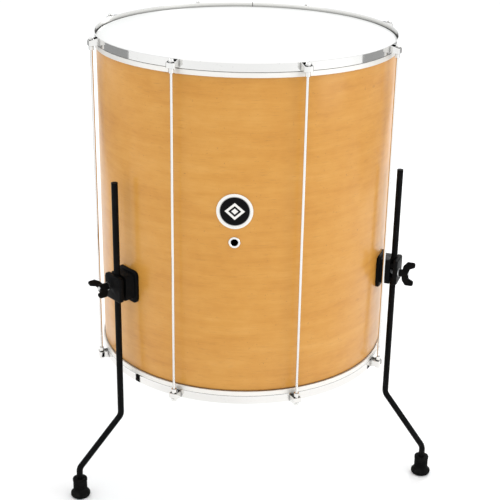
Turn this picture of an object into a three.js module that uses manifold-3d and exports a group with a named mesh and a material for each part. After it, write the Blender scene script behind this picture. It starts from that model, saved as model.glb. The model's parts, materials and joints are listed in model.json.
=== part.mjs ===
// A bass drum on three legs (surdo): a plywood shell with a head at each end, held between two
// counterhoops by long tension rods, and carried by three height-adjustable legs in clamp brackets.
// Millimetres, +Z up. Angles run round the drum's axis from the front (-Y) towards +X.
import * as THREE from "three";
import { mergeVertices } from "three/addons/utils/BufferGeometryUtils.js";
import Module from "manifold-3d";

const wasm = await Module();
wasm.setup();

// ---- Driving dimensions ----------------------------------------------------------------------

// Shell
const shellDiameter = 513;
const shellDepth = 568;
const shellWall = 7.5;
const shellClearance = 218; // floor to the shell's lower edge, as the legs are set
const edgeRound = 3; // round-over of the bearing edge's outer corner

// Heads and hoops, the same at both ends. Heights run outwards from the shell's edge.
const filmThickness = 0.5;
const rimStand = 7.2; // counterhoop rim above the head's face
const hoopHeight = 14.6;
const hoopBand = 2.1; // thickness of the counterhoop's band
const hoopSoftening = 0.7; // small chamfer along the band's edges
const fleshHeight = 8.2;

// Tension rods and the ears that they pass through
const rodCount = 8;
const rodDiameter = 4.6;
const rodStandOff = 14.55; // rods' axes from the shell
const earInnerWidth = 12.7;
const earStrip = 1.5; // thickness of the bent strip
const earWallHeight = 8;
const earSetback = 2.4; // from the band's inner edge to the strip
const earRise = 4; // the strip's sides climb by this towards the band
const earCorner = 3; // outer radius of the strip's bends
const weld = 0.3; // overlap of welded pieces
const earTubeDiameter = 8.6;
const earTubeLength = 16.9;
const earTubeReach = 5.5; // tube past the band's inner edge, towards the shell's middle
const rodHeadWidth = 8; // across flats
const rodHeadHeight = 4.2;
const nutWidth = 9; // across flats
const nutHeight = 5;
const threadEnd = 1.2; // thread showing past the nut

// Badge and vent, one above the other on the front
const frontFittingsAngle = -0.9;
const badgeDiameter = 59;
const badgeThickness = 1.2;
const badgeRimWidth = 3.2;
const badgeRimRise = 0.6;
const badgeAboveVent = 53.5;
const ventBore = 12;
const ventBarrelWall = 0.9;
const ventFlangeDiameter = 19;
const ventFlangeThickness = 1.1;

// Leg brackets, each centred on its leg
const legCount = 3;
const firstBracketAngle = -46.54;
const bracketHeight = 172.9; // shell's lower edge to the bracket's centre
const plateWidth = 51;
const plateHeight = 58.4;
const plateThickness = 5.5;
const plateCorner = 9;
const plateLowerCorner = 10;
const plateBevel = 2.4;
const plateDrop = 1.3; // plate's middle below the bracket's centre
const bossWidth = 42;
const bossReach = 21.8; // from the shell to the boss's face
const clampHeight = 45;
const clampCorner = 6;
const jawWidth = 45;
const jawThickness = 7.6;
const jawBevel = 1.8;
const clampGap = 5.8; // between the boss and the jaw, closed on the leg
const heelWidth = 3.5;
const heelHeight = 8;
const heelClearance = 0.5;
const screwOffset = -12; // wing screw's axis, sideways from the leg's

// Bracket fasteners, inside the shell
const mountingScrewDiameter = 6;
const mountingScrewSpacing = 44;
const mountingScrewBite = 3.9; // screw's length inside the plate
const mountingHeadDiameter = 11;
const mountingHeadHeight = 3.6;
const backingWidth = 28;
const backingHeight = 60;
const backingCorner = 4;
const backingThickness = 2;

// Wing screw
const wingScrewDiameter = 7.8;
const wingScrewTip = 6; // tip's distance from the shell
const washerDiameter = 14;
const washerThickness = 1.6;
const wingHubDiameter = 13;
const wingHubLength = 16;
const wingSpan = 41.5;
const wingArmWidth = 10.5;
const wingArmThickness = 5;
const wingEdge = 1; // bevel round the arms
const wingTipRound = 3.4;
const wingRoot = 4; // hub's back to where the arms leave it
const wingShoulder = 13; // hub's back to where the arms run straight
const wingLength = 27; // washer to the wings' ends
const wingRestAngles = [24, 111, 20]; // where each screw stops when tight

// Legs
const legDiameter = 11;
const legTop = 358; // upper end above the shell's lower edge
const legBend = 74.5; // upper bend below the shell's lower edge
const legReach = 81.3; // foot's axis outwards from the leg's upper part
const legAngleDrop = 88; // height of the slanting part
const legBendRadius = 16;
const legSwivel = -12.7; // foot's direction from straight outwards

// Feet
const footDiameter = 34.5;
const footBodyDiameter = 25;
const footHeight = 36;
const footFlare = 12.5;
const footShoulder = 7.5; // height where the flare starts to narrow
const soleRound = 4.5; // rounding under the foot's edge
const footSole = 8; // rubber under the leg's end
const footEdge = 1.5; // bevel round the foot's upper end

// Clearances
const gap = 0.3; // between pieces that touch
const runningGap = 0.35; // round a shaft or thread

// Fineness
const ringFacet = 20; // length of a facet round the shell and the hoops
const boreSides = 12;
const discSides = 20;
const rodSides = 10;
const arcSteps = 2;
const bendSteps = 8;

// ---- Sizes that follow ------------------------------------------------------------------------

const shellRadius = shellDiameter / 2;
const shellInner = shellRadius - shellWall;
const shellBottom = shellClearance;
const shellTop = shellBottom + shellDepth;
const shellMiddle = (shellBottom + shellTop) / 2;
const ringSides = rodCount * Math.round((Math.PI * shellDiameter) / ringFacet / rodCount);

const filmFace = gap + filmThickness; // head's face, from the shell's edge
const filmRadius = shellRadius + gap + filmThickness;
const hoopOuterEnd = filmFace + rimStand;
const hoopInnerEnd = hoopOuterEnd - hoopHeight;
const fleshInner = filmRadius + gap;
const bandInner = fleshInner + gap;
const hoopRadius = bandInner + hoopBand; // outer face of both hoops
const fleshTop = hoopInnerEnd - gap;
const fleshBottom = fleshTop - fleshHeight;

const rodCircle = shellRadius + rodStandOff;
const rodBore = rodDiameter / 2 + runningGap;
const tubeOuterEnd = hoopInnerEnd - earTubeReach + earTubeLength;
const rodAngles = Array.from({ length: rodCount }, (_, i) => ((i + 0.5) * 360) / rodCount);

const bracketAngles = Array.from(
  { length: legCount },
  (_, i) => firstBracketAngle + (i * 360) / legCount,
);
const bracketZ = shellBottom + bracketHeight;
const plateZ = bracketZ - plateDrop;
const plateBack = shellRadius + gap;
const plateFace = plateBack + plateThickness;
const bossFace = plateBack + bossReach;
const jawBack = bossFace + clampGap;
const jawFace = jawBack + jawThickness;
const legAxis = (bossFace + jawBack) / 2; // leg's axis, outwards from the drum's axis

// ---- Materials --------------------------------------------------------------------------------

const finish = (color, roughness, metalness) => () =>
  new THREE.MeshStandardMaterial({ color, roughness, metalness });
const wood = finish(0xd6a362, 0.35, 0);
const film = finish(0xfcfcf6, 0.5, 0);
const aluminium = finish(0xd2d4d4, 0.4, 1);
const chrome = finish(0xdcdee0, 0.12, 1);
const blackMetal = finish(0x151515, 0.45, 0.2);
const rubber = finish(0x111111, 0.8, 0);
const zincSteel = finish(0xb8babc, 0.35, 1);
const enamel = finish(0x1b1b1d, 0.3, 0.4);

// ---- Geometry helpers -------------------------------------------------------------------------

const radians = THREE.MathUtils.degToRad;

// A closed geometry as a solid that can be cut and joined.
function toSolid(geometry) {
  const bare = geometry.index ? geometry.toNonIndexed() : geometry.clone();
  bare.deleteAttribute("normal");
  bare.deleteAttribute("uv");
  const merged = mergeVertices(bare, 1e-4);
  const index = merged.index.array;
  const triangles = [];
  for (let i = 0; i < index.length; i += 3) {
    const [a, b, c] = [index[i], index[i + 1], index[i + 2]];
    if (a !== b && b !== c && c !== a) triangles.push(a, b, c);
  }
  return new wasm.Manifold(
    new wasm.Mesh({
      numProp: 3,
      vertProperties: merged.attributes.position.array,
      triVerts: new Uint32Array(triangles),
    }),
  );
}

function toGeometry(solid) {
  const mesh = solid.getMesh();
  const geometry = new THREE.BufferGeometry();
  geometry.setAttribute("position", new THREE.BufferAttribute(mesh.vertProperties, 3));
  geometry.setIndex(new THREE.BufferAttribute(mesh.triVerts, 1));
  const faceted = geometry.toNonIndexed();
  faceted.computeVertexNormals();
  return faceted;
}

const joined = (solids) => solids.reduce((whole, solid) => whole.add(solid));

// Turned about +Z. The profile is [radius, height] pairs, up the outside and down the inside.
function turned(profile, sides = ringSides) {
  const points = profile.map(([radius, height]) => new THREE.Vector2(radius, height));
  const onAxis = points[0].x === 0 && points[points.length - 1].x === 0;
  if (!onAxis) points.push(points[0].clone());
  return new THREE.LatheGeometry(points, sides).rotateX(Math.PI / 2);
}

// Quarter or other arc for a profile, from one angle to another, as [radius, height] pairs.
function arc(centreRadius, centreHeight, radius, fromDegrees, toDegrees) {
  return Array.from({ length: arcSteps + 1 }, (_, i) => {
    const angle = radians(fromDegrees + ((toDegrees - fromDegrees) * i) / arcSteps);
    return [centreRadius + radius * Math.cos(angle), centreHeight + radius * Math.sin(angle)];
  });
}

// A round bar standing on z = low. Its flats can be turned with the last value.
function bar(diameter, low, high, sides = boreSides, turn = 0) {
  return new THREE.CylinderGeometry(diameter / 2, diameter / 2, high - low, sides)
    .rotateX(Math.PI / 2)
    .rotateZ(radians(turn))
    .translate(0, 0, (low + high) / 2);
}

// A round bar pointing outwards (-Y) between two distances from the drum's axis.
function outwardBar(diameter, near, far, sides = boreSides) {
  return new THREE.CylinderGeometry(diameter / 2, diameter / 2, far - near, sides).translate(
    0,
    -(near + far) / 2,
    0,
  );
}

// In an outward slab the shape's lower edge (-y) is the slab's lower edge.
function roundedRectangle(width, height, corner, lowerCorner = corner) {
  const [x, y] = [width / 2, height / 2];
  const shape = new THREE.Shape();
  shape.moveTo(x, -y + lowerCorner);
  shape.absarc(x - corner, y - corner, corner, 0, Math.PI / 2);
  shape.absarc(-x + corner, y - corner, corner, Math.PI / 2, Math.PI);
  shape.absarc(-x + lowerCorner, -y + lowerCorner, lowerCorner, Math.PI, Math.PI * 1.5);
  shape.absarc(x - lowerCorner, -y + lowerCorner, lowerCorner, Math.PI * 1.5, Math.PI * 2);
  return shape;
}

// An upright slab facing outwards (-Y) between two distances, its outer edge bevelled.
function outwardSlab(shape, near, far, bevel = 0) {
  const extruded = new THREE.ExtrudeGeometry(shape, {
    depth: far - near - 2 * bevel,
    bevelEnabled: bevel > 0,
    bevelThickness: bevel,
    bevelSize: bevel,
    bevelOffset: -bevel,
    bevelSegments: 1,
    curveSegments: arcSteps,
  });
  return extruded.translate(0, 0, near + bevel).rotateX(Math.PI / 2);
}

// A full ring, to bend slabs to the shell's curve.
function ring(inner, outer, low, high) {
  return toSolid(turned([[inner, low], [outer, low], [outer, high], [inner, high]]));
}

// The points of a path with each inner corner rounded.
function roundedPath(corners, radius) {
  const stations = [corners[0]];
  for (let i = 1; i < corners.length - 1; i++) {
    const back = corners[i - 1].clone().sub(corners[i]).normalize();
    const ahead = corners[i + 1].clone().sub(corners[i]).normalize();
    const half = back.angleTo(ahead) / 2;
    const centre = back
      .clone()
      .add(ahead)
      .normalize()
      .multiplyScalar(radius / Math.sin(half))
      .add(corners[i]);
    const start = back.multiplyScalar(radius / Math.tan(half)).add(corners[i]).sub(centre);
    const end = ahead.multiplyScalar(radius / Math.tan(half)).add(corners[i]).sub(centre);
    const axis = start.clone().cross(end).normalize();
    for (let k = 0; k <= bendSteps; k++) {
      const spoke = start.clone().applyAxisAngle(axis, (start.angleTo(end) * k) / bendSteps);
      stations.push(spoke.add(centre));
    }
  }
  stations.push(corners[corners.length - 1]);
  return stations;
}

// A path through stations, one extrusion step between each pair however far apart they lie.
class StationCurve extends THREE.Curve {
  constructor(stations) {
    super();
    this.stations = stations;
  }
  getPoint(t, target = new THREE.Vector3()) {
    const place = t * (this.stations.length - 1);
    const i = Math.min(Math.floor(place), this.stations.length - 2);
    return target.lerpVectors(this.stations[i], this.stations[i + 1], place - i);
  }
  getPointAt(u, target) {
    return this.getPoint(u, target);
  }
  getTangentAt(u, target = new THREE.Vector3()) {
    const i = Math.round(u * (this.stations.length - 1));
    const before = this.stations[Math.max(i - 1, 0)];
    const here = this.stations[i];
    const after = this.stations[Math.min(i + 1, this.stations.length - 1)];
    const into = here.clone().sub(before).normalize();
    return target.copy(after).sub(here).normalize().add(into).normalize();
  }
}

// ---- The object -------------------------------------------------------------------------------

const drum = new THREE.Group();

function place(parent, name, geometry, material) {
  const mesh = new THREE.Mesh(geometry, material());
  mesh.name = name;
  parent.add(mesh);
  return mesh;
}

function turnedGroup(angle, z = 0) {
  const group = new THREE.Group();
  group.rotation.z = radians(angle);
  group.position.z = z;
  drum.add(group);
  return group;
}

// Shell: bearing edges at both ends, a vent hole and two screw holes behind each bracket.
function shell() {
  const crest = shellRadius - edgeRound;
  const bevelDrop = crest - shellInner; // the inner bevel, at 45 degrees
  const profile = [
    ...arc(crest, shellBottom + edgeRound, edgeRound, -90, 0),
    ...arc(crest, shellTop - edgeRound, edgeRound, 0, 90),
    [shellInner, shellTop - bevelDrop],
    [shellInner, shellBottom + bevelDrop],
  ];
  const throughWall = [shellInner - shellWall, shellRadius + shellWall];
  const ventHole = outwardBar(ventBore + 2 * (ventBarrelWall + gap), ...throughWall, discSides)
    .translate(0, 0, shellMiddle)
    .rotateZ(radians(frontFittingsAngle));
  const screwHoles = bracketAngles.flatMap((angle) =>
    [-1, 1].map((side) =>
      outwardBar(mountingScrewDiameter + 2 * runningGap, ...throughWall)
        .translate(0, 0, plateZ + (side * mountingScrewSpacing) / 2)
        .rotateZ(radians(angle)),
    ),
  );
  const holes = joined([ventHole, ...screwHoles].map(toSolid));
  return toGeometry(toSolid(turned(profile)).subtract(holes));
}

// Head: a flat film that turns over the bearing edge into a collar, held in the flesh hoop.
function head() {
  const crest = shellRadius - edgeRound;
  return turned([
    [0, gap],
    ...arc(crest, -edgeRound, edgeRound + gap, 90, 0),
    [shellRadius + gap, fleshBottom + gap],
    [filmRadius, fleshBottom + gap],
    ...arc(crest, -edgeRound, edgeRound + filmFace, 0, 90),
    [0, filmFace],
  ]);
}

function fleshHoop() {
  const corner = hoopBand / 4;
  return turned([
    [fleshInner, fleshBottom],
    [hoopRadius - corner, fleshBottom],
    [hoopRadius, fleshBottom + corner],
    [hoopRadius, fleshTop - corner],
    [hoopRadius - corner, fleshTop],
    [fleshInner, fleshTop],
  ]);
}

// Ear: a strip bent into a U and welded to the band, with a tube inside for the tension rod.
function ear() {
  const outerWidth = earInnerWidth + 2 * earStrip;
  const wallInner = rodCircle + earTubeDiameter / 2 - weld;
  const wallOuter = wallInner + earStrip;
  const root = hoopRadius - hoopBand / 2;
  const [bendX, bendY] = [outerWidth / 2 - earCorner, earCorner - wallOuter];
  const outline = new THREE.Shape();
  outline.moveTo(-outerWidth / 2, -root);
  outline.lineTo(-outerWidth / 2, bendY);
  outline.absarc(-bendX, bendY, earCorner, Math.PI, Math.PI * 1.5);
  outline.absarc(bendX, bendY, earCorner, Math.PI * 1.5, Math.PI * 2);
  outline.lineTo(outerWidth / 2, -root);
  outline.lineTo(earInnerWidth / 2, -root);
  outline.lineTo(earInnerWidth / 2, -wallInner);
  outline.lineTo(-earInnerWidth / 2, -wallInner);
  outline.lineTo(-earInnerWidth / 2, -root);
  outline.closePath();
  const low = hoopInnerEnd + earSetback;
  const front = low + earWallHeight;
  const strip = new THREE.ExtrudeGeometry(outline, {
    depth: earWallHeight + earRise,
    bevelEnabled: false,
    curveSegments: arcSteps,
  }).translate(0, 0, low);
  // The strip's far edge slopes down from the band to the front wall.
  const slope = new THREE.Shape();
  slope.moveTo(hoopRadius, front + earRise);
  slope.lineTo(wallOuter + weld, front);
  slope.lineTo(wallOuter + weld, front + 2 * earRise);
  slope.lineTo(hoopRadius, front + 2 * earRise);
  slope.closePath();
  const offcut = new THREE.ExtrudeGeometry(slope, { depth: 2 * outerWidth, bevelEnabled: false })
    .rotateX(Math.PI / 2)
    .rotateZ(-Math.PI / 2)
    .translate(outerWidth, 0, 0);
  const tube = bar(earTubeDiameter, tubeOuterEnd - earTubeLength, tubeOuterEnd);
  tube.translate(0, -rodCircle, 0);
  return toGeometry(toSolid(strip).subtract(toSolid(offcut)).add(toSolid(tube)));
}

function counterhoop() {
  const band = turned([
    [bandInner + hoopSoftening, hoopInnerEnd],
    [hoopRadius - hoopSoftening, hoopInnerEnd],
    [hoopRadius, hoopInnerEnd + hoopSoftening],
    [hoopRadius, hoopOuterEnd - hoopSoftening],
    [hoopRadius - hoopSoftening, hoopOuterEnd],
    [bandInner + hoopSoftening, hoopOuterEnd],
    [bandInner, hoopOuterEnd - hoopSoftening],
    [bandInner, hoopInnerEnd + hoopSoftening],
  ]);
  const oneEar = ear();
  const oneBore = bar(2 * rodBore, tubeOuterEnd - 2 * earTubeLength, tubeOuterEnd + earTubeLength);
  oneBore.translate(0, -rodCircle, 0);
  const around = (geometry) => rodAngles.map((a) => toSolid(geometry.clone().rotateZ(radians(a))));
  return toGeometry(joined([toSolid(band), ...around(oneEar)]).subtract(joined(around(oneBore))));
}

// Tension rod: hexagon head on the upper ear's tube, threaded end below the lower ear's nut.
const upperSeat = shellTop + tubeOuterEnd + gap;
const lowerSeat = shellBottom - tubeOuterEnd - gap;
const acrossCorners = (acrossFlats) => acrossFlats / Math.cos(Math.PI / 6);

function tensionRod() {
  const shank = bar(rodDiameter, lowerSeat - nutHeight - threadEnd, upperSeat + gap, rodSides);
  const hexagon = bar(acrossCorners(rodHeadWidth), upperSeat, upperSeat + rodHeadHeight, 6);
  return toGeometry(toSolid(shank).add(toSolid(hexagon)));
}

function tuningNut() {
  const body = bar(acrossCorners(nutWidth), -nutHeight, 0, 6);
  const bore = bar(2 * rodBore, -2 * nutHeight, nutHeight);
  return toGeometry(toSolid(body).subtract(toSolid(bore)));
}

// Badge: a disc bent to the shell, with a raised rim.
function badge() {
  const centreZ = shellMiddle + badgeAboveVent;
  const [low, high] = [centreZ - badgeDiameter, centreZ + badgeDiameter];
  const back = shellRadius + gap;
  const disc = (diameter) =>
    toSolid(outwardBar(diameter, shellInner, hoopRadius, 2 * discSides).translate(0, 0, centreZ));
  const plate = disc(badgeDiameter).intersect(ring(back, back + badgeThickness, low, high));
  const rim = disc(badgeDiameter)
    .subtract(disc(badgeDiameter - 2 * badgeRimWidth))
    .intersect(ring(back, back + badgeThickness + badgeRimRise, low, high));
  return toGeometry(plate.add(rim));
}

// Vent eyelet: a barrel through the shell, turned over into a flange on each side.
function ventEyelet() {
  const bore = ventBore / 2;
  const flange = ventFlangeDiameter / 2;
  const seat = flange ** 2 / (2 * shellRadius); // how far the curved wall drops under the flange
  const inside = shellInner - seat - gap;
  const outside = shellRadius + gap;
  const barrel = bore + ventBarrelWall;
  const soft = ventFlangeThickness / 2;
  const eyelet = turned(
    [
      [bore, inside - ventFlangeThickness + soft],
      [bore + soft, inside - ventFlangeThickness],
      [flange - soft, inside - ventFlangeThickness],
      [flange - soft, inside],
      [barrel, inside],
      [barrel, outside],
      [flange, outside],
      [flange, outside + soft],
      [flange - soft, outside + ventFlangeThickness],
      [bore + soft, outside + ventFlangeThickness],
      [bore, outside + ventFlangeThickness - soft],
    ],
    discSides,
  );
  return eyelet.rotateX(Math.PI / 2);
}

// ---- Leg brackets, drawn with the bracket's centre at z = 0 and facing -Y ----------------------

const legBore = legDiameter + 2 * runningGap;
const alongLeg = (geometry) => geometry.translate(0, -legAxis, 0);
const alongScrew = (geometry) => geometry.translate(screwOffset, 0, 0);
const alongPlate = (geometry) => geometry.translate(0, 0, -plateDrop);
const mountingScrewHeights = [mountingScrewSpacing / 2, -mountingScrewSpacing / 2];

function bracketBase() {
  const reach = plateHeight; // helper solids reach past the plate by this
  const outline = roundedRectangle(plateWidth, plateHeight, plateCorner, plateLowerCorner);
  const slab = alongPlate(outwardSlab(outline, shellInner - plateBevel, plateFace, plateBevel));
  const bent = toSolid(slab).intersect(ring(plateBack, plateFace, -reach, reach));
  const bossOutline = roundedRectangle(bossWidth, clampHeight, clampCorner);
  const boss = outwardSlab(bossOutline, shellRadius, bossFace);
  const legGroove = alongLeg(bar(legBore, -reach, reach, discSides));
  const threadHole = alongScrew(
    outwardBar(wingScrewDiameter + 2 * runningGap, shellRadius + wingScrewTip - gap, jawFace),
  );
  const screwHoleEnd = plateBack + mountingScrewBite + gap;
  const screwHoles = mountingScrewHeights.map((height) =>
    alongPlate(
      outwardBar(mountingScrewDiameter + 2 * runningGap, shellInner, screwHoleEnd)
        .translate(0, 0, height),
    ),
  );
  const cuts = joined([legGroove, threadHole, ...screwHoles].map(toSolid));
  const backing = ring(shellInner, plateBack, -reach, reach);
  return toGeometry(bent.add(toSolid(boss).subtract(backing)).subtract(cuts));
}

function clampJaw() {
  const slab = outwardSlab(
    roundedRectangle(jawWidth, clampHeight, clampCorner),
    jawBack - jawBevel,
    jawFace,
    jawBevel,
  );
  const underside = new THREE.BoxGeometry(2 * jawWidth, 2 * jawBevel, 2 * clampHeight);
  underside.translate(0, -(jawBack - jawBevel), 0);
  // Two heels on the screw's side keep the jaw level as the screw pulls it in.
  const heelLength = clampGap - heelClearance + jawThickness / 2;
  const heelPlace = new THREE.Vector3(
    -(bossWidth - heelWidth - clampCorner) / 2,
    -(bossFace + heelClearance + heelLength / 2),
    (clampHeight - heelHeight) / 2 - clampCorner,
  );
  const heels = [-1, 1].map((side) =>
    new THREE.BoxGeometry(heelWidth, heelLength, heelHeight)
      .translate(heelPlace.x, heelPlace.y, side * heelPlace.z),
  );
  const groove = alongLeg(bar(legBore, -clampHeight, clampHeight, discSides));
  const hole = alongScrew(outwardBar(wingScrewDiameter + 2 * runningGap, bossFace, jawFace + jawWidth));
  const body = toSolid(slab).subtract(toSolid(underside)).add(joined(heels.map(toSolid)));
  return toGeometry(body.subtract(toSolid(groove)).subtract(toSolid(hole)));
}

const washerBack = jawFace + gap;
const washerFace = washerBack + washerThickness;

function washer() {
  const disc = toSolid(outwardBar(washerDiameter, washerBack, washerFace, discSides));
  const hole = toSolid(outwardBar(wingScrewDiameter + 2 * runningGap, jawBack, jawFace + jawWidth));
  return toGeometry(disc.subtract(hole));
}

// Wing screw, about its own axis: threaded shank, hub, and two arms that turn outwards.
function wingScrew() {
  const hubBack = washerFace + gap;
  const hubFace = hubBack + wingHubLength;
  const tip = shellRadius + wingScrewTip;
  const shank = outwardBar(wingScrewDiameter, tip, hubBack + gap);
  const hub = outwardBar(wingHubDiameter, hubBack, hubFace, discSides);
  const end = washerFace + wingLength;
  const outer = wingSpan / 2;
  const inner = outer - wingArmWidth;
  const shoulder = hubBack + wingShoulder;
  // One arm: out of the hub's side, along a curve to the shoulder, and on to a rounded tip.
  const outline = new THREE.Shape();
  outline.moveTo(0, hubBack + wingRoot);
  outline.quadraticCurveTo((outer + inner) / 2, hubBack + wingRoot, outer, shoulder);
  outline.lineTo(outer, end - wingTipRound);
  outline.quadraticCurveTo(outer, end, outer - wingTipRound, end);
  outline.lineTo(inner + wingTipRound, end);
  outline.quadraticCurveTo(inner, end, inner, end - wingTipRound);
  outline.quadraticCurveTo(inner, hubFace, 0, hubFace);
  outline.closePath();
  const arm = (side) => {
    const flat = new THREE.ExtrudeGeometry(outline, {
      depth: wingArmThickness - 2 * wingEdge,
      bevelEnabled: true,
      bevelThickness: wingEdge,
      bevelSize: wingEdge,
      bevelOffset: -wingEdge,
      bevelSegments: 1,
      curveSegments: arcSteps,
    });
    flat.translate(0, 0, wingEdge - wingArmThickness / 2).rotateX(Math.PI);
    return side > 0 ? flat : flat.rotateY(Math.PI);
  };
  return toGeometry(joined([shank, hub, arm(1), arm(-1)].map(toSolid)));
}

function backingPlate() {
  const [near, far] = [shellInner - gap - backingThickness, shellInner - gap];
  const slab = outwardSlab(
    roundedRectangle(backingWidth, backingHeight, backingCorner),
    near - backingWidth,
    far + backingWidth,
  );
  const bent = toSolid(slab).intersect(ring(near, far, -backingHeight, backingHeight));
  const holes = mountingScrewHeights.map((height) =>
    toSolid(
      outwardBar(mountingScrewDiameter + 2 * runningGap, near - backingWidth, far + backingWidth)
        .translate(0, 0, height),
    ),
  );
  return toGeometry(bent.subtract(joined(holes)));
}

function mountingScrew() {
  const underHead = shellInner - 2 * gap - backingThickness;
  const shank = outwardBar(mountingScrewDiameter, underHead - gap, plateBack + mountingScrewBite);
  const screwHead = outwardBar(mountingHeadDiameter, underHead - mountingHeadHeight, underHead, boreSides);
  return toGeometry(toSolid(shank).add(toSolid(screwHead)));
}

// ---- Legs -------------------------------------------------------------------------------------

const footPlace = new THREE.Vector3(
  legReach * Math.sin(radians(legSwivel)),
  -legAxis - legReach * Math.cos(radians(legSwivel)),
  0,
);

function legRod() {
  const above = (z) => new THREE.Vector3(0, -legAxis, z);
  const overFoot = (z) => new THREE.Vector3(footPlace.x, footPlace.y, z);
  const bendZ = shellBottom - legBend;
  const corners = [
    above(shellBottom + legTop),
    above(bendZ),
    overFoot(bendZ - legAngleDrop),
    overFoot(footSole + gap),
  ];
  const section = new THREE.Shape();
  section.absarc(0, 0, legDiameter / 2, 0, Math.PI * 2);
  const stations = roundedPath(corners, legBendRadius);
  return new THREE.ExtrudeGeometry(section, {
    steps: stations.length - 1,
    extrudePath: new StationCurve(stations),
    bevelEnabled: false,
    curveSegments: rodSides / 2,
  });
}

function foot() {
  const socket = legBore / 2;
  const [sole, body] = [footDiameter / 2, footBodyDiameter / 2];
  return turned(
    [
      [0, 0],
      ...arc(sole - soleRound, soleRound, soleRound, -90, 0),
      [sole, footShoulder],
      [body, footFlare],
      [body, footHeight - footEdge],
      [body - footEdge, footHeight],
      [socket, footHeight],
      [socket, footSole],
      [0, footSole],
    ],
    discSides,
  ).translate(footPlace.x, footPlace.y, 0);
}

// ---- Assembly ---------------------------------------------------------------------------------

place(drum, "shell", shell(), wood);

for (const [end, z, turn] of [
  ["top", shellTop, 0],
  ["bottom", shellBottom, Math.PI],
]) {
  const group = new THREE.Group();
  group.position.z = z;
  group.rotation.x = turn;
  drum.add(group);
  place(group, `${end}_head`, head(), film);
  place(group, `${end}_flesh_hoop`, fleshHoop(), aluminium);
  place(group, `${end}_counterhoop`, counterhoop(), chrome);
}

rodAngles.forEach((angle, i) => {
  const group = turnedGroup(angle);
  place(group, `tension_rod_${i + 1}`, tensionRod(), chrome).position.y = -rodCircle;
  place(group, `tuning_nut_${i + 1}`, tuningNut(), chrome).position.set(0, -rodCircle, lowerSeat);
});

place(turnedGroup(frontFittingsAngle), "badge", badge(), enamel);
place(turnedGroup(frontFittingsAngle, shellMiddle), "vent_eyelet", ventEyelet(), chrome);

bracketAngles.forEach((angle, i) => {
  const number = i + 1;
  const bracket = turnedGroup(angle, bracketZ);
  place(bracket, `bracket_base_${number}`, bracketBase(), blackMetal);
  place(bracket, `clamp_jaw_${number}`, clampJaw(), blackMetal);
  place(bracket, `clamp_washer_${number}`, washer(), zincSteel).position.x = screwOffset;
  const screw = place(bracket, `wing_screw_${number}`, wingScrew(), blackMetal);
  screw.position.x = screwOffset;
  screw.rotation.y = radians(wingRestAngles[i]);
  const backing = place(bracket, `backing_plate_${number}`, backingPlate(), zincSteel);
  backing.position.z = -plateDrop;
  ["upper", "lower"].forEach((level, k) => {
    const fastener = place(bracket, `mounting_screw_${number}_${level}`, mountingScrew(), zincSteel);
    fastener.position.z = mountingScrewHeights[k] - plateDrop;
  });
  const leg = turnedGroup(angle);
  place(leg, `leg_rod_${number}`, legRod(), blackMetal);
  place(leg, `rubber_foot_${number}`, foot(), rubber);
});

// The origin is under the middle of the whole object, on the floor.
drum.updateMatrixWorld(true);
const extent = new THREE.Box3().setFromObject(drum, true);
const middle = extent.getCenter(new THREE.Vector3());
drum.position.set(-middle.x, -middle.y, -extent.min.z);

export default drum;
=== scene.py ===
"""A bass drum on three legs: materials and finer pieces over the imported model, camera, floor and light."""

import math

import bmesh
import bpy
from mathutils import Matrix, Vector
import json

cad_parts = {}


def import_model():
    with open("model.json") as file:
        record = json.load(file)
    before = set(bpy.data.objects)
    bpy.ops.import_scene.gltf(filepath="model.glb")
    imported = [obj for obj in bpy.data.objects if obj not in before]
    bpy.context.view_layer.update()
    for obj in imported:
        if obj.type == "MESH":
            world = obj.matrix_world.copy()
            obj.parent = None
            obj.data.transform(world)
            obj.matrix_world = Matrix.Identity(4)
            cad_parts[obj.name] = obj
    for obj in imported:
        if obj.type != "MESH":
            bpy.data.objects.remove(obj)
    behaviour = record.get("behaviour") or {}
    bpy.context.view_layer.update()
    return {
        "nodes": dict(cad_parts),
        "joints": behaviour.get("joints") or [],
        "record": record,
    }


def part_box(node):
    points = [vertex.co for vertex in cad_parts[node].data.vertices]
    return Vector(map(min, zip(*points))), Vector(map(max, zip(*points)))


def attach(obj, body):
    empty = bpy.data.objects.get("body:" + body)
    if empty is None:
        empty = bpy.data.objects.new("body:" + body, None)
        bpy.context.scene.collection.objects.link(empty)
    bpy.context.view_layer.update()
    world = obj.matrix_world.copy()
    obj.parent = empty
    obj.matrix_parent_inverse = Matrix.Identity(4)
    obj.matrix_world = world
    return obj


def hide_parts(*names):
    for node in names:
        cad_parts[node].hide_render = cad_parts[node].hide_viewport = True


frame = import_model()
nodes = frame["nodes"]

# The drum's axis, its shell and its badge, in metres.
shell_low, shell_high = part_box("shell")
axis = (shell_low + shell_high) / 2
axis.z = 0
shell_radius = (shell_high.x - shell_low.x) / 2
badge_low, badge_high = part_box("badge")
badge_centre = (badge_low + badge_high) / 2
badge_radius = (badge_high.z - badge_low.z) / 2


# ---- Node helpers -------------------------------------------------------------------------------


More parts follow.
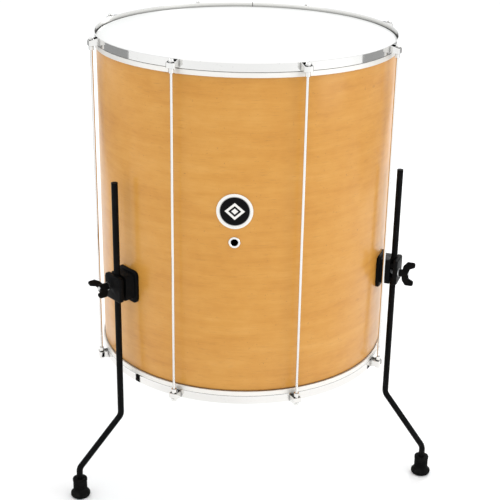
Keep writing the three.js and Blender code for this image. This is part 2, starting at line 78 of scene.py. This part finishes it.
class Nodes:
    """A small wrapper that makes shader nodes and links them in one line each."""

    def __init__(self, tree):
        self.tree = tree

    def add(self, kind, inputs=None, **settings):
        node = self.tree.nodes.new(kind)
        for key, value in settings.items():
            setattr(node, key, value)
        for key, value in (inputs or {}).items():
            if isinstance(value, bpy.types.NodeSocket):
                self.tree.links.new(value, node.inputs[key])
            else:
                node.inputs[key].default_value = value
        return node

    def math(self, operation, a, b=0.0, clamp=False):
        node = self.add("ShaderNodeMath", {0: a, 1: b}, operation=operation)
        node.use_clamp = clamp
        return node.outputs[0]

    def span(self, value, low, high, to_low=0.0, to_high=1.0):
        inputs = {"Value": value, 1: low, 2: high, 3: to_low, 4: to_high}
        return self.add("ShaderNodeMapRange", inputs).outputs["Result"]

    def noise(self, vector, scale, detail=4.0, roughness=0.55, distortion=0.0):
        inputs = {
            "Vector": vector,
            "Scale": scale,
            "Detail": detail,
            "Roughness": roughness,
            "Distortion": distortion,
        }
        return self.add("ShaderNodeTexNoise", inputs).outputs["Fac"]

    def ramp(self, value, stops):
        node = self.add("ShaderNodeValToRGB", {"Fac": value})
        elements = node.color_ramp.elements
        while len(elements) < len(stops):
            elements.new(0.5)
        for element, (place, colour) in zip(elements, stops):
            element.position = place
            element.color = (*colour, 1)
        return node.outputs["Color"]

    def mix(self, factor, a, b):
        """From colour a to colour b, each a socket or a tuple, as factor goes from 0 to 1."""
        colours = [value if isinstance(value, bpy.types.NodeSocket) else (*value, 1) for value in (a, b)]
        inputs = {"Factor": factor, 6: colours[0], 7: colours[1]}
        return self.add("ShaderNodeMix", inputs, data_type="RGBA").outputs[2]

    def openness_for_painted_shade(self, reach):
        """1 in the open, falling to 0 in corners and crevices, where it paints shade into the colour."""
        node = self.add("ShaderNodeAmbientOcclusion", {"Distance": reach}, samples=8)
        return self.span(node.outputs["AO"], 0.2, 0.8)

    def scaled(self, vector, scale):
        return self.add("ShaderNodeMapping", {"Vector": vector, "Scale": scale}).outputs[0]


def material(name, build, **constants):
    """A Principled material: build links what varies over it, and constants go on the sockets."""
    made = bpy.data.materials.new(name)
    made.use_nodes = True
    n = Nodes(made.node_tree)
    shader = made.node_tree.nodes["Principled BSDF"]
    for key, value in constants.items():
        socket = shader.inputs[key.replace("_", " ")]
        socket.default_value = value
    place = n.add("ShaderNodeTexCoord").outputs["Object"]
    build(n, place, shader)
    return made


def link(n, value, shader, socket):
    n.tree.links.new(value, shader.inputs[socket])


def bump(n, shader, height, strength, distance):
    inputs = {"Height": height, "Strength": strength, "Distance": distance}
    link(n, n.add("ShaderNodeBump", inputs).outputs[0], shader, "Normal")


def from_axis(n, place):
    """Height, distance from the drum's axis, and the place as seen from the axis' foot."""
    centred = n.add("ShaderNodeVectorMath", {0: place, 1: tuple(axis)}, operation="SUBTRACT").outputs[0]
    parts = n.add("ShaderNodeSeparateXYZ", {0: centred}).outputs
    flat = n.add("ShaderNodeCombineXYZ", {0: parts[0], 1: parts[1]}).outputs[0]
    distance = n.add("ShaderNodeVectorMath", {0: flat}, operation="LENGTH").outputs["Value"]
    return parts[2], distance, centred


# ---- Materials ----------------------------------------------------------------------------------


def wood(n, place, shader):
    """Rotary-cut veneer, its grain running round the shell, under satin lacquer."""
    height, distance, _ = from_axis(n, place)
    cloud = n.noise(n.scaled(place, (1.6, 1.6, 5.0)), 2.2, 3.0, 0.5)
    figure = n.noise(n.scaled(place, (2.6, 2.6, 26.0)), 2.4, 5.0, 0.62, 0.35)
    grain = n.noise(n.scaled(place, (9.0, 9.0, 210.0)), 2.0, 6.0, 0.65, 0.2)
    mottle = n.noise(n.scaled(place, (38.0, 38.0, 60.0)), 1.0, 4.0, 0.6)
    tone = n.math("ADD", n.math("MULTIPLY", figure, 0.36), n.math("MULTIPLY", cloud, 0.3))
    tone = n.math("ADD", tone, n.math("MULTIPLY", grain, 0.16))
    tone = n.math("ADD", tone, n.math("MULTIPLY", mottle, 0.22))
    colour = n.ramp(
        tone,
        [
            (0.38, (0.540, 0.232, 0.034)),
            (0.48, (0.605, 0.275, 0.045)),
            (0.55, (0.635, 0.300, 0.054)),
            (0.66, (0.675, 0.335, 0.072)),
        ],
    )
    flecks = n.noise(n.scaled(place, (60.0, 60.0, 900.0)), 1.0, 2.0, 0.5)
    pores = n.span(flecks, 0.62, 0.72)
    colour = n.mix(n.math("MULTIPLY", pores, 0.28), colour, (0.33, 0.14, 0.036))
    # A few bird's-eye knots, each a small dark fleck.
    cells = n.add(
        "ShaderNodeTexVoronoi",
        {"Vector": n.scaled(place, (1.0, 1.0, 1.9)), "Scale": 17.0, "Randomness": 1.0},
    )
    chosen = n.span(n.add("ShaderNodeSeparateXYZ", {0: cells.outputs["Color"]}).outputs[0], 0.86, 0.9)
    fleck = n.math("MULTIPLY", n.span(cells.outputs["Distance"], 0.105, 0.03), chosen)
    fleck = n.math("MULTIPLY", fleck, n.span(mottle, 0.35, 0.6))
    colour = n.mix(n.math("MULTIPLY", fleck, 0.55), colour, (0.36, 0.15, 0.034))
    specks = n.noise(place, 320.0, 1.0, 0.4)
    dark_specks = n.span(specks, 0.74, 0.79)
    colour = n.mix(n.math("MULTIPLY", dark_specks, 0.45), colour, (0.26, 0.10, 0.03))
    # The inside and the bearing edges, away from the outer ply, are bare, paler wood.
    bare = n.span(distance, shell_radius - 0.0012, shell_radius - 0.0028)
    colour = n.mix(bare, colour, n.mix(grain, (0.50, 0.33, 0.16), (0.68, 0.50, 0.28)))
    # Painted shade: a dark line, from ambient occlusion, where the wood meets the lower hoop.
    edge = n.math("SUBTRACT", 1.0, n.openness_for_painted_shade(0.006))
    edge = n.math("MULTIPLY", edge, n.span(height, shell_low.z + 0.06, shell_low.z + 0.03))
    colour = n.mix(n.math("MULTIPLY", edge, 1.7, clamp=True), colour, (0.085, 0.034, 0.011))
    link(n, colour, shader, "Base Color")
    rough = n.span(n.noise(place, 14.0, 4.0, 0.6), 0.3, 0.7, 0.30, 0.42)
    link(n, n.math("ADD", rough, n.math("MULTIPLY", bare, 0.35)), shader, "Roughness")
    coat = n.span(n.noise(place, 6.0, 3.0, 0.6), 0.3, 0.7, 0.18, 0.34)
    link(n, n.math("MULTIPLY", coat, n.math("SUBTRACT", 1.0, bare)), shader, "Coat Weight")
    relief = n.math("ADD", n.math("MULTIPLY", grain, 0.6), n.math("MULTIPLY", flecks, 0.4))
    bump(n, shader, relief, 0.06, 0.0006)


def film(n, place, shader):
    """Coated polyester: a faint mist of the coating, and a few stick marks near the middle."""
    _, distance, _ = from_axis(n, place)
    mist = n.noise(place, 900.0, 3.0, 0.7)
    cloud = n.noise(place, 9.0, 4.0, 0.6)
    worn = n.math("MULTIPLY", n.span(distance, 0.16, 0.02), n.span(cloud, 0.45, 0.7))
    colour = n.mix(n.math("MULTIPLY", cloud, 0.5), (0.86, 0.86, 0.84), (0.90, 0.90, 0.88))
    colour = n.mix(n.math("MULTIPLY", worn, 0.18), colour, (0.76, 0.755, 0.73))
    link(n, colour, shader, "Base Color")
    link(n, n.span(mist, 0.3, 0.7, 0.38, 0.52), shader, "Roughness")
    bump(n, shader, mist, 0.05, 0.0002)


def chrome(n, place, shader):
    """Polished plating with a slight wave, fine wiping marks and a few dull spots."""
    wave = n.noise(place, 26.0, 2.0, 0.4)
    wiping = n.noise(n.scaled(place, (700.0, 700.0, 160.0)), 1.0, 3.0, 0.6)
    spots = n.span(n.noise(place, 240.0, 2.0, 0.5), 0.66, 0.78)
    rough = n.math("ADD", n.span(wiping, 0.3, 0.7, 0.05, 0.10), n.math("MULTIPLY", spots, 0.16))
    link(n, rough, shader, "Roughness")
    _, _, centred = from_axis(n, place)
    parts = n.add("ShaderNodeSeparateXYZ", {0: centred}).outputs
    # The weld across each hoop's band, at the back.
    seam = n.span(n.math("ABSOLUTE", parts[0]), 0.0009, 0.0005)
    seam = n.math("MULTIPLY", seam, n.span(parts[1], 0.2, 0.21))
    colour = n.mix(spots, (0.80, 0.79, 0.768), (0.66, 0.65, 0.63))
    colour = n.mix(seam, colour, (0.12, 0.115, 0.11))
    # Painted shade: the plating's colour darkens to near black in corners and crevices.
    link(n, n.mix(n.openness_for_painted_shade(0.010), (0.035, 0.033, 0.031), colour), shader, "Base Color")
    bump(n, shader, wave, 0.08, 0.0012)


def aluminium(n, place, shader):
    """Rolled hoop, brushed round its length."""
    brushed = n.noise(n.scaled(place, (6.0, 6.0, 1900.0)), 1.0, 4.0, 0.6)
    stain = n.noise(place, 20.0, 3.0, 0.6)
    colour = n.mix(stain, (0.82, 0.80, 0.76), (0.90, 0.88, 0.84))
    # Painted shade: the hoop's colour darkens in corners and crevices.
    link(n, n.mix(n.openness_for_painted_shade(0.005), (0.05, 0.045, 0.04), colour), shader, "Base Color")
    link(n, n.span(brushed, 0.3, 0.7, 0.46, 0.62), shader, "Roughness")
    bump(n, shader, brushed, 0.10, 0.0003)


def powder_coat(n, place, shader):
    """Black powder coat: orange peel, with rubbed patches and a little dust."""
    peel = n.noise(place, 1100.0, 2.0, 0.5)
    rubbed = n.span(n.noise(place, 34.0, 4.0, 0.65), 0.52, 0.72)
    colour = n.mix(rubbed, (0.0030, 0.0030, 0.0032), (0.0075, 0.0072, 0.0070))
    dust = n.span(n.noise(place, 420.0, 3.0, 0.7), 0.66, 0.76)
    link(n, n.mix(n.math("MULTIPLY", dust, 0.2), colour, (0.05, 0.048, 0.046)), shader, "Base Color")
    link(n, n.span(rubbed, 0.0, 1.0, 0.50, 0.34), shader, "Roughness")
    bump(n, shader, peel, 0.22, 0.0003)


def rubber(n, place, shader):
    """Moulded rubber, greyer where it has scuffed, most of all near the floor."""
    pores = n.noise(place, 1300.0, 3.0, 0.6)
    scuff = n.span(n.noise(n.scaled(place, (60.0, 60.0, 140.0)), 1.0, 4.0, 0.7), 0.5, 0.75)
    low = n.span(n.add("ShaderNodeSeparateXYZ", {0: place}).outputs[2], 0.012, 0.0)
    wear = n.math("MULTIPLY", scuff, n.math("ADD", n.math("MULTIPLY", low, 0.6), 0.25))
    link(n, n.mix(wear, (0.0036, 0.0036, 0.0036), (0.030, 0.029, 0.027)), shader, "Base Color")
    link(n, n.span(pores, 0.3, 0.7, 0.62, 0.82), shader, "Roughness")
    bump(n, shader, pores, 0.18, 0.0003)


def zinc(n, place, shader):
    """Bright zinc plating, faintly clouded and crossed by tool marks."""
    cloud = n.noise(place, 130.0, 4.0, 0.6)
    marks = n.noise(n.scaled(place, (240.0, 1500.0, 900.0)), 1.0, 2.0, 0.5)
    link(n, n.mix(cloud, (0.52, 0.54, 0.58), (0.72, 0.71, 0.66)), shader, "Base Color")
    link(n, n.span(marks, 0.3, 0.7, 0.20, 0.38), shader, "Roughness")
    bump(n, shader, marks, 0.08, 0.0002)


def badge_finish(n, place, shader):
    """A pressed badge: a bright rim, a duller step and black enamel, with a plain diamond for a design."""
    centred = n.add(
        "ShaderNodeVectorMath", {0: place, 1: tuple(badge_centre)}, operation="SUBTRACT"
    ).outputs[0]
    out = n.add("ShaderNodeVectorMath", {0: centred}, operation="LENGTH").outputs["Value"]
    parts = n.add("ShaderNodeSeparateXYZ", {0: centred}).outputs
    rim = n.span(out, badge_radius - 0.0050, badge_radius - 0.0046)
    step = n.span(out, badge_radius - 0.0060, badge_radius - 0.0057)
    diamond_width, diamond_height = 0.033, 0.029
    across = n.math("DIVIDE", n.math("ABSOLUTE", parts[0]), diamond_width / 2)
    upwards = n.math("DIVIDE", n.math("ABSOLUTE", parts[2]), diamond_height / 2)
    diamond = n.math("ADD", across, upwards)
    outline = n.math("MULTIPLY", n.span(diamond, 1.0, 0.97), n.span(diamond, 0.62, 0.65))
    lozenge = n.math("MAXIMUM", outline, n.span(diamond, 0.36, 0.33))
    bright = n.math("MAXIMUM", step, lozenge)
    turning = n.noise(n.scaled(place, (900.0, 60.0, 900.0)), 1.0, 3.0, 0.6)
    metal = n.mix(turning, (0.78, 0.765, 0.72), (0.92, 0.905, 0.87))
    metal = n.mix(n.math("MULTIPLY", n.math("SUBTRACT", step, rim), 0.62), metal, (0.10, 0.10, 0.11))
    enamel = n.mix(n.noise(place, 60.0, 3.0, 0.6), (0.0025, 0.0025, 0.003), (0.006, 0.006, 0.0065))
    link(n, n.mix(bright, enamel, metal), shader, "Base Color")
    link(n, bright, shader, "Metallic")
    link(n, n.span(bright, 0.0, 1.0, 0.14, 0.26), shader, "Roughness")
    bump(n, shader, n.math("ADD", bright, n.math("MULTIPLY", turning, 0.03)), 0.35, 0.0004)


finishes = {
    "lacquered_wood": material(
        "lacquered_wood", wood, Coat_Roughness=0.16, IOR=1.5, Coat_IOR=1.5, Specular_IOR_Level=0.28
    ),
    "drumhead_film": material("drumhead_film", film, IOR=1.55),
    "chrome": material("chrome", chrome, Metallic=1.0),
    "aluminium": material("aluminium", aluminium, Metallic=1.0),
    "black_metal": material("black_metal", powder_coat, IOR=1.5, Specular_IOR_Level=0.05),
    "rubber": material("rubber", rubber, IOR=1.5, Specular_IOR_Level=0.05),
    "zinc_steel": material("zinc_steel", zinc, Metallic=1.0),
    "badge_enamel": material("badge_enamel", badge_finish, IOR=1.5, Specular_IOR_Level=0.05),
}
slots = {row["node"]: row["material_slot"] for row in frame["record"]["subparts"]}


# ---- Smooth shading and softened edges on the CAD nodes ------------------------------------------


def shading_tree(degrees):
    """Drops the stored normals and shades smooth wherever faces meet at less than this angle."""
    tree = bpy.data.node_groups.new(f"smooth_{degrees}", "GeometryNodeTree")
    tree.interface.new_socket("Geometry", in_out="INPUT", socket_type="NodeSocketGeometry")
    tree.interface.new_socket("Geometry", in_out="OUTPUT", socket_type="NodeSocketGeometry")
    n = Nodes(tree)
    entry = n.add("NodeGroupInput")
    angle = n.add("GeometryNodeInputMeshEdgeAngle")
    sharp = n.add(
        "FunctionNodeCompare",
        {0: angle.outputs["Unsigned Angle"], 1: math.radians(degrees)},
        data_type="FLOAT",
        operation="GREATER_THAN",
    )
    plain = n.add("GeometryNodeRemoveAttribute", {"Geometry": entry.outputs[0], "Name": "custom_normal"})
    smooth = n.add("GeometryNodeSetShadeSmooth", {0: plain.outputs[0], 2: True}, domain="FACE")
    edged = n.add(
        "GeometryNodeSetShadeSmooth", {0: smooth.outputs[0], 1: sharp.outputs[0], 2: False}, domain="EDGE"
    )
    leave = n.add("NodeGroupOutput")
    tree.links.new(edged.outputs[0], leave.inputs[0])
    return tree


smooth_angle = 35
hexagon_angle = 25
remeshed_angle = 60
shading_trees = {degrees: shading_tree(degrees) for degrees in (smooth_angle, hexagon_angle, remeshed_angle)}
joined_within = 0.00001


def shade(made, degrees):
    made.modifiers.new("shade", "NODES").node_group = shading_trees[degrees]


def soften(made, edge):
    """Joins a CAD node's facets, rounds its edges where edge isn't 0, and shades it smooth."""
    made.modifiers.new("weld", "WELD").merge_threshold = joined_within
    if edge:
        flat = made.modifiers.new("flat", "DECIMATE")
        flat.decimate_type = "DISSOLVE"
        flat.angle_limit = math.radians(1.0)
        bevel = made.modifiers.new("bevel", "BEVEL")
        bevel.width = edge
        bevel.segments = 2
        bevel.limit_method = "ANGLE"
        bevel.angle_limit = math.radians(34)
        bevel.miter_outer = "MITER_ARC"
    shade(made, smooth_angle)


softened = {"bracket_base": 0.0007, "clamp_jaw": 0.0006}
for name in sorted(nodes):
    nodes[name].data.materials.clear()
    nodes[name].data.materials.append(finishes[slots[name]])
    edge = next((width for start, width in softened.items() if name.startswith(start)), 0.0)
    soften(nodes[name], edge)


# ---- Finer pieces in place of some CAD nodes -----------------------------------------------------

mm = 0.001


def piece(name, bm, slot, body, replaced, smooth=smooth_angle):
    """A finer piece from a bmesh, riding on its body in place of a CAD node."""
    mesh = bpy.data.meshes.new(name)
    bmesh.ops.recalc_face_normals(bm, faces=bm.faces)
    bm.to_mesh(mesh)
    bm.free()
    made = bpy.data.objects.new(name, mesh)
    bpy.context.scene.collection.objects.link(made)
    mesh.materials.append(finishes[slot])
    shade(made, smooth)
    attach(made, body)
    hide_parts(replaced)
    return made


def box_mm(node):
    return [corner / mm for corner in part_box(node)]


def upright_at(low, high):
    """Moves a shape made round the vertical through the origin to the middle of a box in millimetres."""
    return Matrix.Translation(Vector(((low.x + high.x) / 2, (low.y + high.y) / 2, 0)) * mm)


def rings(levels, sides, closed, place):
    """A skin through rings (height, radius at an angle), capped at both ends or joined end to end."""
    bm = bmesh.new()
    loops = []
    for height, radius in levels:
        loop = []
        for k in range(sides):
            angle = 2 * math.pi * k / sides
            out = radius(angle) if callable(radius) else radius
            point = Vector((out * math.cos(angle), out * math.sin(angle), height)) * mm
            loop.append(bm.verts.new(place @ point))
        loops.append(loop)
    pairs = list(zip(loops, loops[1:]))
    if closed:
        pairs.append((loops[-1], loops[0]))
    else:
        bm.faces.new(loops[0])
        bm.faces.new(loops[-1])
    for low, high in pairs:
        for k in range(sides):
            j = (k + 1) % sides
            bm.faces.new((low[k], low[j], high[j], high[k]))
    return bm


def hexagon(across_flats, limit):
    """Radius of a hexagon with its corners cut back to a circle."""

    def radius(angle):
        turn = (angle + math.pi / 6) % (math.pi / 3) - math.pi / 6
        return min(across_flats / 2 / math.cos(turn), limit)

    return radius


def thread(low, high, radius, depth, pitch):
    """Rings of a vee thread, which fades to its root at both ends."""
    rings_per_turn = 4
    count = round((high - low) / pitch) * rings_per_turn

    def at(height):
        def out(angle):
            phase = (height / pitch - angle / (2 * math.pi)) % 1
            fade = min(1, (height - low) / pitch, (high - height) / pitch)
            return radius - depth * (1 - fade) - depth * fade * abs(2 * phase - 1)

        return out

    heights = [low + (high - low) * k / count for k in range(count + 1)]
    return [(height, at(height)) for height in heights]


def tension_rod(number):
    """Cut thread at the lower end, plain shank, and a flanged hexagon head."""
    node = f"tension_rod_{number}"
    low, high = box_mm(node)
    shank = 2.3
    head_height, head_flats, flange = 4.2, 7.4, 4.7
    thread_length, thread_depth, pitch = 46, 0.34, 1.0
    seat = high.z - head_height
    threaded = low.z + thread_length
    head = hexagon(head_flats, 4.15)
    levels = [(low.z, shank - 0.7)]
    levels += thread(low.z + 0.4, threaded, shank, thread_depth, pitch)
    levels += [(threaded + 0.6, shank), ((threaded + seat) / 2, shank), (seat - 0.01, shank)]
    levels += [(seat, flange - 0.3), (seat + 0.25, flange), (seat + 0.8, flange), (seat + 1.1, flange - 0.25)]
    levels += [(seat + 1.15, head), (high.z - 0.5, head)]
    levels += [(high.z, hexagon(head_flats, 3.5)), (high.z - 0.02, 2.2), (high.z - 0.5, 1.7)]
    made = rings(levels, 24, False, upright_at(low, high))
    piece(f"rod_threaded_{number}", made, "chrome", "drum", node)


def tuning_nut(number):
    """A chamfered hexagon nut with a countersunk bore."""
    node = f"tuning_nut_{number}"
    low, high = box_mm(node)
    flats, bore, sink, chamfer = 9.0, 2.5, 0.5, 0.55
    side = hexagon(flats, 5.02)
    end = hexagon(flats, flats / 2 - 0.15)
    levels = [
        (low.z + sink, bore),
        (low.z, bore + sink),
        (low.z, end),
        (low.z + chamfer, side),
        (high.z - chamfer, side),
        (high.z, end),
        (high.z, bore + sink),
        (high.z - sink, bore),
    ]
    made = rings(levels, 36, True, upright_at(low, high))
    piece(f"nut_chamfered_{number}", made, "chrome", f"nut_{number}", node, hexagon_angle)


def foot(number):
    """A moulded foot: hollow sole, flared edge, three grooves and a lip round the leg."""
    node = f"rubber_foot_{number}"
    low, high = box_mm(node)
    sole, body, socket, top = (high.x - low.x) / 2, 12.3, 5.85, high.z
    sole_round, groove_depth, lip = 4.5, 0.7, 0.5
    levels = [(1.6, 4.0), (1.2, 8.0), (0.0, 9.0)]
    for degrees in range(-90, 1, 15):
        angle = math.radians(degrees)
        out = sole - sole_round + sole_round * math.cos(angle)
        levels.append((sole_round + sole_round * math.sin(angle), out))
    levels += [(6.6, sole), (7.6, sole - 0.3), (11.6, body + 1.1), (12.8, body + 0.3), (14.2, body)]
    for groove in (18.0, 22.0, 26.0):
        levels += [(groove - 1.0, body), (groove - 0.6, body - groove_depth)]
        levels += [(groove + 0.6, body - groove_depth), (groove + 1.0, body)]
    levels += [(top - 5.4, body), (top - 4.8, body + lip), (top - 1.3, body + lip)]
    levels += [(top - 0.4, body + 0.1), (top, body - 0.9), (top, socket + 1.0), (top - 0.8, socket)]
    levels += [(8.4, socket), (8.0, 4.0)]
    made = rings(levels, 48, True, upright_at(low, high))
    piece(f"foot_ribbed_{number}", made, "rubber", f"leg_{number}", node)


def wing_frame(number):
    """The wing screw's length, and its frame: +Z outwards from its tip, +X along one wing."""
    joint = next(j for j in frame["joints"] if j["name"] == f"wing_{number}_turn")
    out = Vector(joint["axis"]).normalized()
    centre = Vector(joint["pos_m"])
    points = [v.co.copy() for v in nodes[f"wing_screw_{number}"].data.vertices]
    if (points[0] - axis).dot(out) < 0:
        out = -out
    along = [(p - centre).dot(out) for p in points]
    spread = [(p - centre) - out * (p - centre).dot(out) for p in points]
    side = max(spread, key=lambda v: v.length).normalized()
    across = out.cross(side)
    turned = Matrix((side, across, out)).transposed().to_4x4()
    place = Matrix.Translation(centre + out * min(along)) @ turned
    return place, (max(along) - min(along)) / mm


def wing_screw(number):
    """A cast wing on a zinc-plated stud, whose end shows in the wing's hub."""
    node = f"wing_screw_{number}"
    place, length = wing_frame(number)
    wings_past_hub, hub_length = 10.7, 16
    hub_end = length - wings_past_hub
    hub_back = hub_end - hub_length
    stud_radius, thread_depth, pitch = 3.9, 0.55, 1.25
    levels = [(0, 3.0)]
    levels += thread(0.5, hub_end + 1.2, stud_radius, thread_depth, pitch)
    levels += [(hub_end + 1.6, 2.9)]
    stud = rings(levels, 20, False, place)
    piece(f"wing_stud_{number}", stud, "zinc_steel", f"wing_{number}", node)
    cast = bmesh.new()
    cast.from_mesh(nodes[node].data)
    bmesh.ops.remove_doubles(cast, verts=cast.verts, dist=joined_within)
    # The cut is a hair past the hub's back face, so that it never runs along that face.
    cut = place @ Vector((0, 0, hub_back * mm + 0.00002))
    out = (place.to_3x3() @ Vector((0, 0, 1))).normalized()
    whole = cast.verts[:] + cast.edges[:] + cast.faces[:]
    bmesh.ops.bisect_plane(cast, geom=whole, plane_co=cut, plane_no=out, clear_inner=True)
    bmesh.ops.holes_fill(cast, edges=[e for e in cast.edges if e.is_boundary])
    made = piece(f"wing_cast_{number}", cast, "black_metal", f"wing_{number}", node, remeshed_angle)
    remesh = made.modifiers.new("remesh", "REMESH")
    remesh.mode = "VOXEL"
    remesh.voxel_size = 0.45 * mm
    smooth = made.modifiers.new("smooth", "SMOOTH")
    smooth.factor = 0.5
    smooth.iterations = 5
    shading_place, last_place = 0, 2
    made.modifiers.move(shading_place, last_place)


rod_count, leg_count = 8, 3
for number in range(1, rod_count + 1):
    tension_rod(number)
    tuning_nut(number)
for number in range(1, leg_count + 1):
    foot(number)
    wing_screw(number)


# ---- Floor, light and camera ---------------------------------------------------------------------


def matt(name, grey):
    made = bpy.data.materials.new(name)
    made.use_nodes = True
    shader = made.node_tree.nodes["Principled BSDF"]
    shader.inputs["Base Color"].default_value = (grey, grey, grey, 1)
    shader.inputs["Roughness"].default_value = 0.9
    return made


def sheet(name, low, high, height, grey):
    """A flat rectangle between two corners, at a height."""
    mesh = bpy.data.meshes.new(name)
    corners = [(low[0], low[1], 0), (high[0], low[1], 0), (high[0], high[1], 0), (low[0], high[1], 0)]
    mesh.from_pydata(corners, [], [(0, 1, 2, 3)])
    made = bpy.data.objects.new(name, mesh)
    bpy.context.scene.collection.objects.link(made)
    made.location = (0, 0, height)
    mesh.materials.append(matt(name, grey))
    return made


def lamp(name, place, target, width, height, watts):
    """A soft box that faces its target."""
    data = bpy.data.lights.new(name, "AREA")
    data.shape = "RECTANGLE"
    data.size = width
    data.size_y = height
    data.energy = watts
    made = bpy.data.objects.new(name, data)
    bpy.context.scene.collection.objects.link(made)
    made.location = place
    made.rotation_euler = (Vector(target) - Vector(place)).to_track_quat("-Z", "Y").to_euler()


def camera():
    """The photograph's camera: 1.98 m from the drum's axis, 1.18 m up, looking down by 22 degrees."""
    turn = math.radians(2.31)
    distance, height = 1.97502, 1.18445
    pitch, yaw, roll = 0.384069, 0.0063, 0.01804
    forward = Vector(
        (math.sin(yaw) * math.cos(pitch), math.cos(yaw) * math.cos(pitch), -math.sin(pitch))
    )
    right = Vector((math.cos(yaw), -math.sin(yaw), 0))
    up = right.cross(forward)
    across = right * math.cos(roll) + up * math.sin(roll)
    above = up * math.cos(roll) - right * math.sin(roll)
    around = Matrix.Rotation(turn, 3, "Z")
    across, above, forward = around @ across, around @ above, around @ forward
    data = bpy.data.cameras.new("camera")
    data.sensor_width = 36
    data.lens = 83.2285
    data.clip_end = 100
    made = bpy.data.objects.new("camera", data)
    bpy.context.scene.collection.objects.link(made)
    place = axis + around @ Vector((0, -distance, 0)) + Vector((0, 0, height))
    columns = Matrix((across, above, -forward)).transposed().to_4x4()
    made.matrix_world = Matrix.Translation(place) @ columns
    bpy.context.scene.camera = made


def world():
    """An even white surround, just bright enough to light the floor to white."""
    made = bpy.data.worlds.new("studio")
    bpy.context.scene.world = made
    made.use_nodes = True
    back = made.node_tree.nodes["Background"]
    back.inputs["Color"].default_value = (0.97, 0.985, 1.0, 1)
    back.inputs["Strength"].default_value = 1.06


floor_grey, card_grey = 0.98, 0.30
card_height = 0.002
sheet("floor", (-30, -30), (30, 30), -0.0002, floor_grey)
# A grey card near the floor at each side, as a studio sets flags out of shot: only gloss sees it.
for card in (
    sheet("card_left", (-6.0, 0.0), (-1.75, 3.7), card_height, card_grey),
    sheet("card_right", (1.75, 0.2), (6.0, 3.7), card_height, card_grey),
):
    card.visible_camera = False
    card.visible_diffuse = False
    card.visible_shadow = False
world()
middle = (axis.x, axis.y, 0.5)
right_edge = (axis.x + 0.25, axis.y, 0.45)
lamp("overhead", (0.0, -0.2, 3.4), (0, 0, 0), width=3.0, height=3.0, watts=8)
lamp("left", (-3.2, -1.9, 1.9), middle, width=1.2, height=2.4, watts=5)
lamp("right", (3.3, -1.5, 1.8), middle, width=1.5, height=2.4, watts=22)
lamp("rim", (1.7, 3.6, 2.2), right_edge, width=1.0, height=1.0, watts=50)
camera()
bpy.context.scene.view_settings.view_transform = "Standard"
